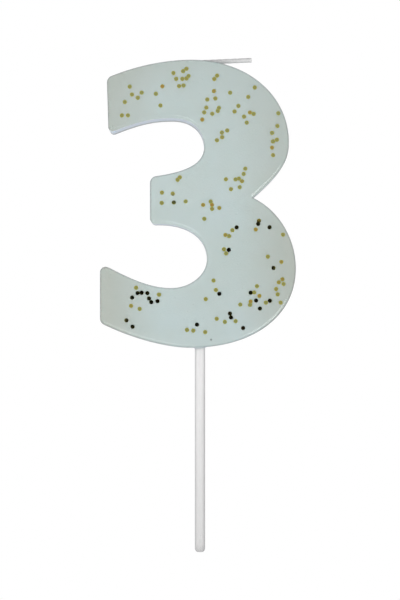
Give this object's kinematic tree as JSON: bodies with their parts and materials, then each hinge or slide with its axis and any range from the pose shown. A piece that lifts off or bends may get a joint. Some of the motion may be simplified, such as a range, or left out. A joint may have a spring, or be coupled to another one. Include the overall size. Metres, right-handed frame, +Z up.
{
  "type": "number birthday candle",
  "caption": "Cast wax numeral 3 candle with a clear glossy front over round gold sequins, a folded wick at its crown and a thin plastic stick to push into a cake.",
  "frame": {"origin": "centre of the flat at the stick's foot, on the stick's axis", "axes": "+Z up along the stick towards the numeral's crown, +Y towards the flat back, so the front faces -Y, and +X to the right as seen from the front"},
  "size_m": [0.0705, 0.012, 0.1794],
  "materials": {
    "aqua_wax": "opaque pale aqua wax, satin at the back and sides",
    "clear_gloss": "clear glossy coat",
    "gold_foil": "mirror gold foil",
    "waxed_cotton": "white braided cotton, waxed",
    "white_plastic": "smooth translucent white plastic"
  },
  "bodies": {
    "candle": {"wax_body": "aqua_wax", "clear_coat": "clear_gloss", "stick": "white_plastic", "wick_core": "waxed_cotton", "sequin_01": "gold_foil", "sequin_02": "gold_foil", "sequin_03": "gold_foil", "sequin_04": "gold_foil", "sequin_05": "gold_foil", "sequin_06": "gold_foil", "sequin_07": "gold_foil", "sequin_08": "gold_foil", "sequin_09": "gold_foil", "sequin_10": "gold_foil", "sequin_11": "gold_foil", "sequin_12": "gold_foil", "sequin_13": "gold_foil", "sequin_14": "gold_foil", "sequin_15": "gold_foil", "sequin_16": "gold_foil", "sequin_17": "gold_foil", "sequin_18": "gold_foil", "sequin_19": "gold_foil", "sequin_20": "gold_foil", "sequin_21": "gold_foil", "sequin_22": "gold_foil", "sequin_23": "gold_foil", "sequin_24": "gold_foil", "sequin_25": "gold_foil", "sequin_26": "gold_foil", "sequin_27": "gold_foil", "sequin_28": "gold_foil", "sequin_29": "gold_foil", "sequin_30": "gold_foil", "sequin_31": "gold_foil", "sequin_32": "gold_foil", "sequin_33": "gold_foil", "sequin_34": "gold_foil", "sequin_35": "gold_foil", "sequin_36": "gold_foil", "sequin_37": "gold_foil", "sequin_38": "gold_foil", "sequin_39": "gold_foil", "sequin_40": "gold_foil", "sequin_41": "gold_foil", "sequin_42": "gold_foil", "sequin_43": "gold_foil", "sequin_44": "gold_foil", "sequin_45": "gold_foil", "sequin_46": "gold_foil", "sequin_47": "gold_foil", "sequin_48": "gold_foil", "sequin_49": "gold_foil", "sequin_50": "gold_foil", "sequin_51": "gold_foil"},
    "wick": {"wick_tip": "waxed_cotton"}
  },
  "joints": [
    {"name": "wick_fold", "type": "hinge", "parent": "candle", "child": "wick", "pos_m": [0, 0, 0.1778], "axis": [0, -1, 0], "range_deg": [0, 90]}
  ]
}
